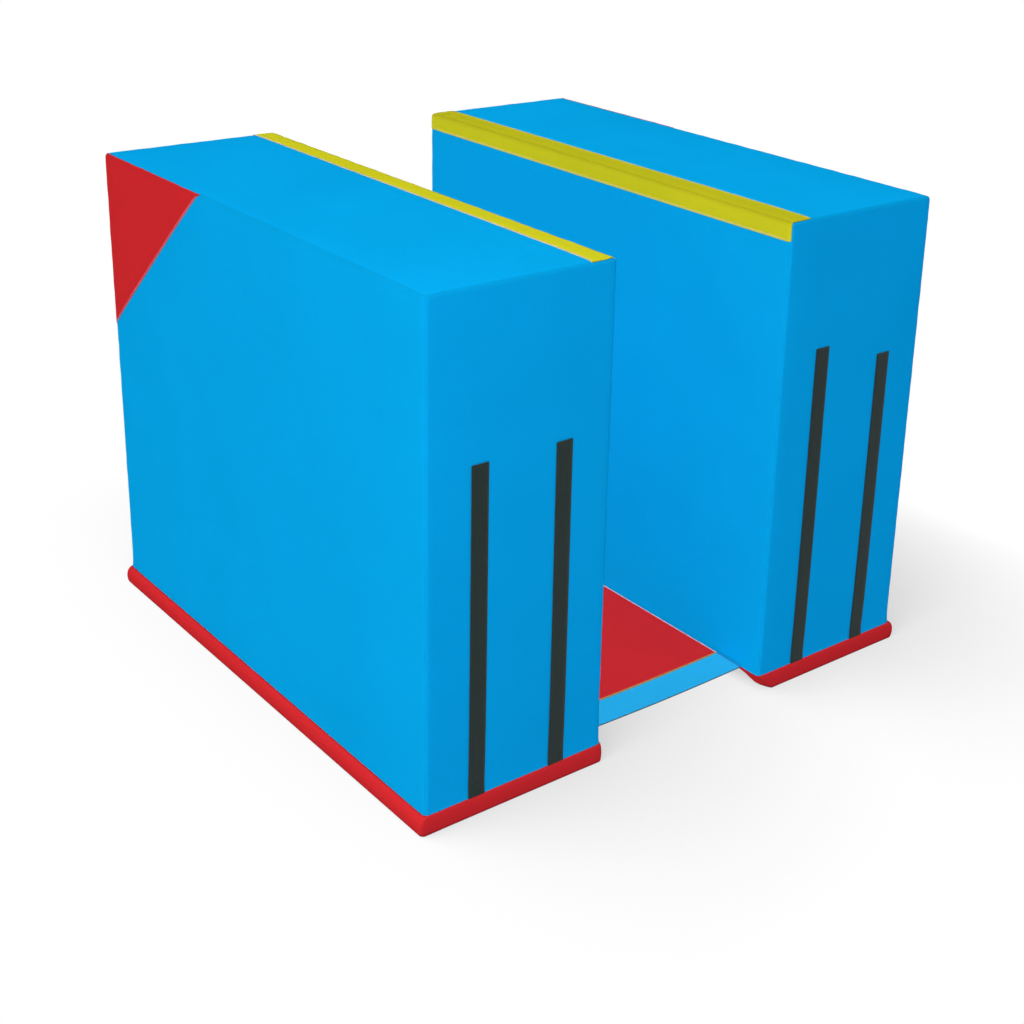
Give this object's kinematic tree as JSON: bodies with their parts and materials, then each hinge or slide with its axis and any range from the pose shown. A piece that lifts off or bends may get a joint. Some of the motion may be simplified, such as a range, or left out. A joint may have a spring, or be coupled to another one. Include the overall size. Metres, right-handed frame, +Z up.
{
  "type": "foam gymnastics block",
  "caption": "Tall foam blocks in coated-fabric covers on firm base rims, joined near the floor by a flap that folds up when they are pushed together.",
  "frame": {"origin": "on the floor, midway between the two blocks", "axes": "+Z up, +Y along the blocks to their rear ends, +X across the channel to the right block"},
  "size_m": [1.248, 1.228, 1.0013],
  "materials": {
    "blue_vinyl": "satin",
    "red_vinyl": "satin",
    "yellow_vinyl": "satin",
    "light_blue_vinyl": "satin",
    "soft_foam": "matte",
    "firm_foam": "matte",
    "hook_and_loop": "matte",
    "zip_tape": "matte",
    "zip_teeth": "satin",
    "zip_metal": "satin"
  },
  "bodies": {
    "left_block": {"left_core_lower": "soft_foam", "left_core_middle": "soft_foam", "left_core_upper": "soft_foam", "left_base_pad": "firm_foam", "left_base_cover": "red_vinyl", "left_top_panel": "blue_vinyl", "left_outer_panel": "blue_vinyl", "left_inner_panel": "blue_vinyl", "left_front_panel": "blue_vinyl", "left_rear_panel": "blue_vinyl", "left_edge_stripe": "yellow_vinyl", "left_corner_patch": "red_vinyl", "left_front_strip_outer": "hook_and_loop", "left_front_strip_inner": "hook_and_loop", "left_rear_strip_outer": "hook_and_loop", "left_rear_strip_inner": "hook_and_loop", "left_zip_tape_outer": "zip_tape", "left_zip_tape_inner": "zip_tape", "left_zip_teeth": "zip_teeth", "left_zip_bottom_stop": "zip_metal", "left_zip_top_stop": "zip_metal"},
    "flap_left": {"flap_left_sheet": "red_vinyl", "flap_left_front_band": "light_blue_vinyl", "flap_left_rear_band": "light_blue_vinyl"},
    "flap_right": {"flap_right_sheet": "red_vinyl", "flap_right_front_band": "light_blue_vinyl", "flap_right_rear_band": "light_blue_vinyl"},
    "right_block": {"right_core_lower": "soft_foam", "right_core_middle": "soft_foam", "right_core_upper": "soft_foam", "right_base_pad": "firm_foam", "right_base_cover": "red_vinyl", "right_top_panel": "blue_vinyl", "right_outer_panel": "blue_vinyl", "right_inner_panel": "blue_vinyl", "right_front_panel": "blue_vinyl", "right_rear_panel": "blue_vinyl", "right_edge_stripe": "yellow_vinyl", "right_corner_patch": "red_vinyl", "right_front_strip_outer": "hook_and_loop", "right_front_strip_inner": "hook_and_loop", "right_rear_strip_outer": "hook_and_loop", "right_rear_strip_inner": "hook_and_loop", "right_zip_tape_outer": "zip_tape", "right_zip_tape_inner": "zip_tape", "right_zip_teeth": "zip_teeth", "right_zip_bottom_stop": "zip_metal", "right_zip_top_stop": "zip_metal"},
    "left_slider": {"left_zip_slider": "zip_metal"},
    "left_puller": {"left_zip_puller": "zip_metal"},
    "right_slider": {"right_zip_slider": "zip_metal"},
    "right_puller": {"right_zip_puller": "zip_metal"}
  },
  "joints": [
    {"name": "left_seam_hinge", "type": "hinge", "parent": "left_block", "child": "flap_left", "pos_m": [-0.2067, 0, 0.0423], "axis": [0, -1, 0], "range_deg": [0, 88]},
    {"name": "flap_fold_hinge", "type": "hinge", "parent": "flap_left", "child": "flap_right", "pos_m": [0, 0, 0.0393], "axis": [0, -1, 0], "range_deg": [-176, 0]},
    {"name": "right_seam_hinge", "type": "hinge", "parent": "flap_right", "child": "right_block", "pos_m": [0.2067, 0, 0.0423], "axis": [0, -1, 0], "range_deg": [0, 88]},
    {"name": "left_zip_slide", "type": "slide", "parent": "left_block", "child": "left_slider", "axis": [0, 0, 1], "range_m": [0, 0.814]},
    {"name": "left_puller_swing", "type": "hinge", "parent": "left_slider", "child": "left_puller", "pos_m": [-0.41, 0.60431, 0.107], "axis": [1, 0, 0], "range_deg": [0, 165]},
    {"name": "right_zip_slide", "type": "slide", "parent": "right_block", "child": "right_slider", "axis": [0, 0, 1], "range_m": [0, 0.814]},
    {"name": "right_puller_swing", "type": "hinge", "parent": "right_slider", "child": "right_puller", "pos_m": [0.41, 0.60431, 0.107], "axis": [1, 0, 0], "range_deg": [0, 165]}
  ],
  "couplings": [
    {"joint": "left_seam_hinge", "follows": "flap_fold_hinge", "ratio": -0.5},
    {"joint": "right_seam_hinge", "follows": "flap_fold_hinge", "ratio": -0.5}
  ]
}
